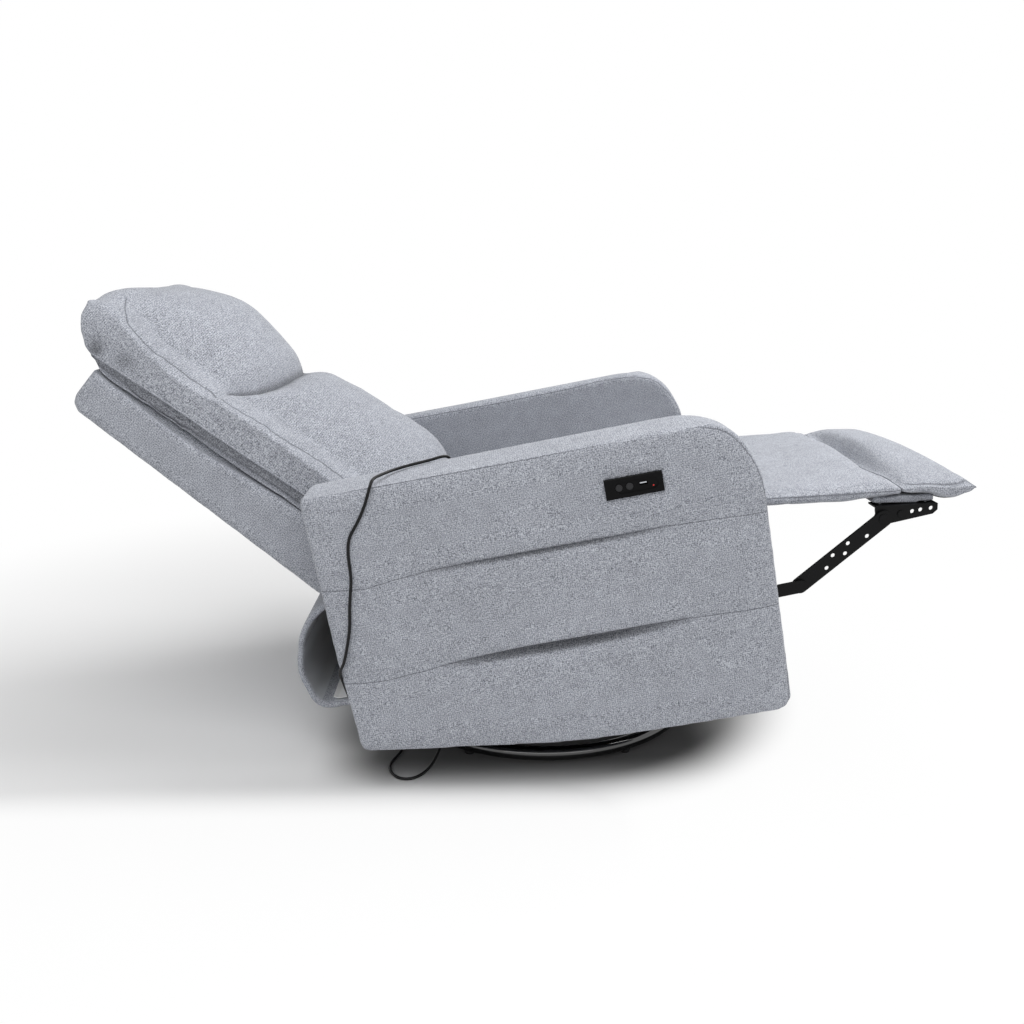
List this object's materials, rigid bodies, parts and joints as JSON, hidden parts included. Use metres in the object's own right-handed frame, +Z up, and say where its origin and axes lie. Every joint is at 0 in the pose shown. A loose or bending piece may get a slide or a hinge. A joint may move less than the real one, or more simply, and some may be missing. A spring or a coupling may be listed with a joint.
{
  "type": "star base swivel recliner",
  "caption": "Power recliner with padded track arms and a folding footrest, rocking on a pedestal that swivels on a round steel ring base.",
  "frame": {"origin": "on the floor, on the swivel axis at the middle of the ring base", "axes": "+X forward to the footrest, +Y to the sitter's left, +Z up"},
  "size_m": [1.5084, 0.8067, 0.8316],
  "materials": {
    "black_steel": "gloss black powder coat",
    "plated_steel": "bright zinc plate",
    "black_plastic": "matt black moulding",
    "rubber": "matt",
    "gloss_panel": "gloss black moulding",
    "port_blue": "moulded tongue",
    "lamp_red": "red lens",
    "plywood": "raw plywood",
    "webbing": "woven elastic webbing",
    "cord_jacket": "smooth black jacket",
    "upholstery": "heathered light blue-grey woven cloth"
  },
  "bodies": {
    "base": {"base_ring": "black_steel", "ring_glides": "black_plastic", "base_cross": "black_steel", "bearing_lower": "black_steel", "bearing_balls": "plated_steel", "kingpin": "plated_steel"},
    "turntable": {"bearing_upper": "black_steel", "turntable": "black_steel", "pedestal_right": "black_steel", "pedestal_left": "black_steel", "pivot_shaft": "plated_steel"},
    "chair": {"actuator_housing": "black_plastic", "actuator_motor": "black_plastic", "arm_band_left": "upholstery", "arm_band_right": "upholstery", "arm_board_left": "plywood", "arm_board_right": "plywood", "arm_inner_left": "upholstery", "arm_inner_right": "upholstery", "arm_panel_lower_left": "upholstery", "arm_panel_lower_right": "upholstery", "arm_panel_middle_left": "upholstery", "arm_panel_middle_right": "upholstery", "arm_panel_upper_left": "upholstery", "arm_panel_upper_right": "upholstery", "control_panel": "gloss_panel", "cord": "cord_jacket", "cord_gland": "black_plastic", "cross_tubes": "black_steel", "hanger_left": "black_steel", "hanger_right": "black_steel", "panel_lamp": "lamp_red", "power_supply": "black_plastic", "rear_apron": "upholstery", "rear_stretcher": "plywood", "recline_pins": "plated_steel", "rubber_bushings": "rubber", "seat_cushion": "upholstery", "seat_rails": "plywood", "seat_webbing": "webbing", "side_rail_left": "black_steel", "side_rail_right": "black_steel", "usb_tongue": "port_blue"},
    "back": {"back_frame": "upholstery", "back_bracket_right": "black_steel", "back_bracket_left": "black_steel", "lumbar_cushion": "upholstery", "head_pillow": "upholstery"},
    "drive": {"drive_frame": "black_steel"},
    "front_links": {"front_link_right": "black_steel", "front_link_left": "black_steel"},
    "ottoman": {"ottoman_bracket_right": "black_steel", "ottoman_bracket_left": "black_steel", "ottoman_board": "plywood", "ottoman_screws": "plated_steel", "bolster": "upholstery", "chaise_pad": "upholstery"},
    "actuator_rod": {"actuator_rod": "plated_steel"},
    "button_open": {"button_open": "gloss_panel"},
    "button_close": {"button_close": "gloss_panel"}
  },
  "joints": [
    {"name": "base_swivel", "type": "hinge", "parent": "base", "child": "turntable", "pos_m": [0, 0, 0.03], "axis": [0, 0, 1], "continuous": true},
    {"name": "rock", "type": "hinge", "parent": "turntable", "child": "chair", "pos_m": [0, 0, 0.15], "axis": [0, 1, 0], "range_deg": [0, 15], "stiffness_Nm_per_rad": 120, "springref_deg": 10.49},
    {"name": "recline", "type": "hinge", "parent": "chair", "child": "back", "pos_m": [-0.27399, 0, 0.2894], "axis": [0, 1, 0], "range_deg": [0, 26]},
    {"name": "footrest_drive", "type": "hinge", "parent": "chair", "child": "drive", "pos_m": [0.24817, 0, 0.29261], "axis": [0, 1, 0], "range_deg": [0, 116.36]},
    {"name": "footrest_elbow", "type": "hinge", "parent": "drive", "child": "front_links", "pos_m": [0.42934, 0, 0.33026], "axis": [0, 1, 0], "range_deg": [-137.5, 0]},
    {"name": "footrest_pivot", "type": "hinge", "parent": "front_links", "child": "ottoman", "pos_m": [0.56418, 0, 0.4478], "axis": [0, 1, 0], "range_deg": [0, 103.6], "deforming": ["chaise_pad"]},
    {"name": "rod_slide", "type": "slide", "parent": "chair", "child": "actuator_rod", "axis": [0.9833, 0, 0.1822], "range_m": [-0.058, 0]},
    {"name": "button_open_press", "type": "slide", "parent": "chair", "child": "button_open", "axis": [0, 1, 0], "range_m": [0, 0.0015], "stiffness_N_per_m": 400},
    {"name": "button_close_press", "type": "slide", "parent": "chair", "child": "button_close", "axis": [0, 1, 0], "range_m": [0, 0.0015], "stiffness_N_per_m": 400}
  ],
  "couplings": [
    {"joint": "footrest_elbow", "follows": "footrest_drive", "ratio": -1.1803},
    {"joint": "footrest_pivot", "follows": "footrest_drive", "ratio": 0.8893},
    {"joint": "rod_slide", "follows": "footrest_drive", "m_per_rad": -0.02845}
  ]
}
